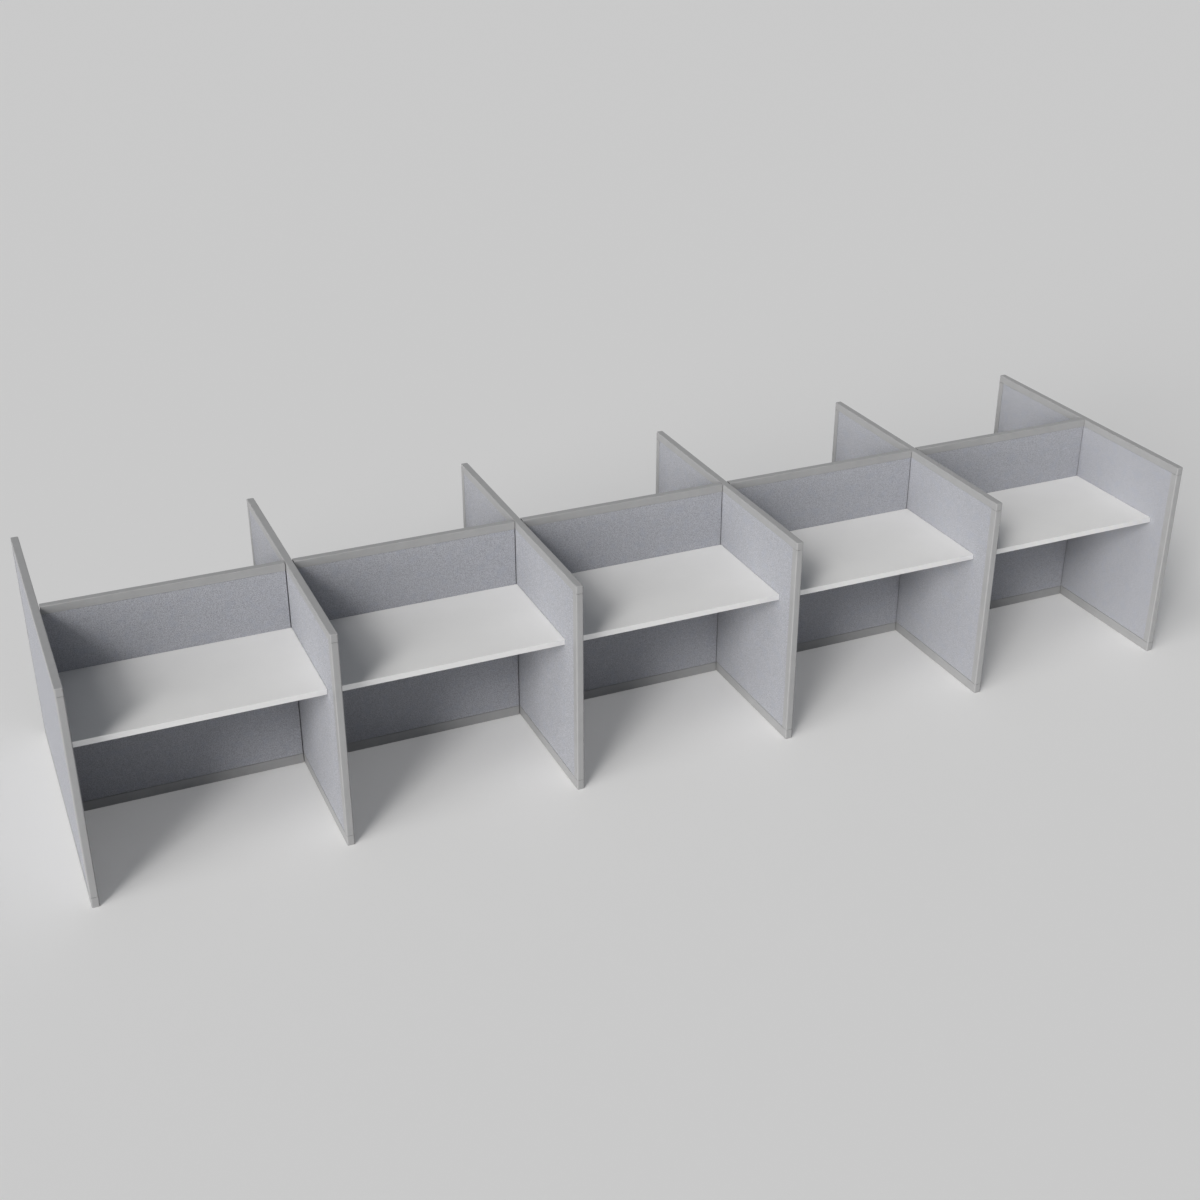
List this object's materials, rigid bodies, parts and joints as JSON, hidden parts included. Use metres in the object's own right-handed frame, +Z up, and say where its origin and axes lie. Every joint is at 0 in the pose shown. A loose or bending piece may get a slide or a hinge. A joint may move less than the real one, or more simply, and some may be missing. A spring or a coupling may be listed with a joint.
{
  "type": "cubicle workstation",
  "caption": "Straight back-to-back run of office desks between low fabric-covered panels: a central spine, full-depth wing panels, wall-to-wall worksurfaces and levelling glides.",
  "frame": {"origin": "on the floor, under the middle of the run, on the centre plane of the spine", "axes": "+X along the spine, -Y towards the sitters of the front row and +Y towards those of the back row, +Z up"},
  "size_m": [5.584, 1.524, 1.0668],
  "materials": {
    "panel_fabric": "matte",
    "trim_paint": "satin",
    "worksurface_laminate": "satin",
    "edge_band": "satin",
    "core_board": "matte",
    "frame_steel": "satin",
    "honeycomb": "matte",
    "connector_steel": "satin",
    "bracket_steel": "satin",
    "zinc_fasteners": "satin",
    "glide_steel": "satin"
  },
  "bodies": {
    "workstation": {"wing_frames": "frame_steel", "spine_frames": "frame_steel", "honeycomb_cores": "honeycomb", "wing_top_caps": "trim_paint", "spine_top_caps": "trim_paint", "wing_end_trims": "trim_paint", "wing_base_rails": "trim_paint", "spine_base_rails": "trim_paint", "base_rail_screws": "zinc_fasteners", "connector_strips": "connector_steel", "connector_bolts": "zinc_fasteners", "side_brackets": "bracket_steel", "bracket_bolts": "zinc_fasteners", "worksurface_screws": "zinc_fasteners", "worksurface_laminates": "worksurface_laminate", "worksurface_edge_bands": "edge_band", "glide_plugs": "zinc_fasteners", "wing_1_fabric": "panel_fabric", "wing_2_fabric": "panel_fabric", "wing_3_fabric": "panel_fabric", "wing_4_fabric": "panel_fabric", "wing_5_fabric": "panel_fabric", "wing_6_fabric": "panel_fabric", "spine_1_fabric": "panel_fabric", "spine_2_fabric": "panel_fabric", "spine_3_fabric": "panel_fabric", "spine_4_fabric": "panel_fabric", "spine_5_fabric": "panel_fabric", "front_worksurface_1": "core_board", "front_worksurface_2": "core_board", "front_worksurface_3": "core_board", "front_worksurface_4": "core_board", "front_worksurface_5": "core_board", "back_worksurface_1": "core_board", "back_worksurface_2": "core_board", "back_worksurface_3": "core_board", "back_worksurface_4": "core_board", "back_worksurface_5": "core_board"},
    "wing_1_front_glide": {"wing_1_front_glide": "glide_steel"},
    "wing_1_back_glide": {"wing_1_back_glide": "glide_steel"},
    "wing_2_front_glide": {"wing_2_front_glide": "glide_steel"},
    "wing_2_back_glide": {"wing_2_back_glide": "glide_steel"},
    "wing_3_front_glide": {"wing_3_front_glide": "glide_steel"},
    "wing_3_back_glide": {"wing_3_back_glide": "glide_steel"},
    "wing_4_front_glide": {"wing_4_front_glide": "glide_steel"},
    "wing_4_back_glide": {"wing_4_back_glide": "glide_steel"},
    "wing_5_front_glide": {"wing_5_front_glide": "glide_steel"},
    "wing_5_back_glide": {"wing_5_back_glide": "glide_steel"},
    "wing_6_front_glide": {"wing_6_front_glide": "glide_steel"},
    "wing_6_back_glide": {"wing_6_back_glide": "glide_steel"},
    "spine_1_left_glide": {"spine_1_left_glide": "glide_steel"},
    "spine_1_right_glide": {"spine_1_right_glide": "glide_steel"},
    "spine_2_left_glide": {"spine_2_left_glide": "glide_steel"},
    "spine_2_right_glide": {"spine_2_right_glide": "glide_steel"},
    "spine_3_left_glide": {"spine_3_left_glide": "glide_steel"},
    "spine_3_right_glide": {"spine_3_right_glide": "glide_steel"},
    "spine_4_left_glide": {"spine_4_left_glide": "glide_steel"},
    "spine_4_right_glide": {"spine_4_right_glide": "glide_steel"},
    "spine_5_left_glide": {"spine_5_left_glide": "glide_steel"},
    "spine_5_right_glide": {"spine_5_right_glide": "glide_steel"}
  },
  "joints": [
    {"name": "wing_1_front_glide_travel", "type": "slide", "parent": "workstation", "child": "wing_1_front_glide", "axis": [0, 0, -1], "range_m": [0, 0.02]},
    {"name": "wing_1_back_glide_travel", "type": "slide", "parent": "workstation", "child": "wing_1_back_glide", "axis": [0, 0, -1], "range_m": [0, 0.02]},
    {"name": "wing_2_front_glide_travel", "type": "slide", "parent": "workstation", "child": "wing_2_front_glide", "axis": [0, 0, -1], "range_m": [0, 0.02]},
    {"name": "wing_2_back_glide_travel", "type": "slide", "parent": "workstation", "child": "wing_2_back_glide", "axis": [0, 0, -1], "range_m": [0, 0.02]},
    {"name": "wing_3_front_glide_travel", "type": "slide", "parent": "workstation", "child": "wing_3_front_glide", "axis": [0, 0, -1], "range_m": [0, 0.02]},
    {"name": "wing_3_back_glide_travel", "type": "slide", "parent": "workstation", "child": "wing_3_back_glide", "axis": [0, 0, -1], "range_m": [0, 0.02]},
    {"name": "wing_4_front_glide_travel", "type": "slide", "parent": "workstation", "child": "wing_4_front_glide", "axis": [0, 0, -1], "range_m": [0, 0.02]},
    {"name": "wing_4_back_glide_travel", "type": "slide", "parent": "workstation", "child": "wing_4_back_glide", "axis": [0, 0, -1], "range_m": [0, 0.02]},
    {"name": "wing_5_front_glide_travel", "type": "slide", "parent": "workstation", "child": "wing_5_front_glide", "axis": [0, 0, -1], "range_m": [0, 0.02]},
    {"name": "wing_5_back_glide_travel", "type": "slide", "parent": "workstation", "child": "wing_5_back_glide", "axis": [0, 0, -1], "range_m": [0, 0.02]},
    {"name": "wing_6_front_glide_travel", "type": "slide", "parent": "workstation", "child": "wing_6_front_glide", "axis": [0, 0, -1], "range_m": [0, 0.02]},
    {"name": "wing_6_back_glide_travel", "type": "slide", "parent": "workstation", "child": "wing_6_back_glide", "axis": [0, 0, -1], "range_m": [0, 0.02]},
    {"name": "spine_1_left_glide_travel", "type": "slide", "parent": "workstation", "child": "spine_1_left_glide", "axis": [0, 0, -1], "range_m": [0, 0.02]},
    {"name": "spine_1_right_glide_travel", "type": "slide", "parent": "workstation", "child": "spine_1_right_glide", "axis": [0, 0, -1], "range_m": [0, 0.02]},
    {"name": "spine_2_left_glide_travel", "type": "slide", "parent": "workstation", "child": "spine_2_left_glide", "axis": [0, 0, -1], "range_m": [0, 0.02]},
    {"name": "spine_2_right_glide_travel", "type": "slide", "parent": "workstation", "child": "spine_2_right_glide", "axis": [0, 0, -1], "range_m": [0, 0.02]},
    {"name": "spine_3_left_glide_travel", "type": "slide", "parent": "workstation", "child": "spine_3_left_glide", "axis": [0, 0, -1], "range_m": [0, 0.02]},
    {"name": "spine_3_right_glide_travel", "type": "slide", "parent": "workstation", "child": "spine_3_right_glide", "axis": [0, 0, -1], "range_m": [0, 0.02]},
    {"name": "spine_4_left_glide_travel", "type": "slide", "parent": "workstation", "child": "spine_4_left_glide", "axis": [0, 0, -1], "range_m": [0, 0.02]},
    {"name": "spine_4_right_glide_travel", "type": "slide", "parent": "workstation", "child": "spine_4_right_glide", "axis": [0, 0, -1], "range_m": [0, 0.02]},
    {"name": "spine_5_left_glide_travel", "type": "slide", "parent": "workstation", "child": "spine_5_left_glide", "axis": [0, 0, -1], "range_m": [0, 0.02]},
    {"name": "spine_5_right_glide_travel", "type": "slide", "parent": "workstation", "child": "spine_5_right_glide", "axis": [0, 0, -1], "range_m": [0, 0.02]}
  ]
}
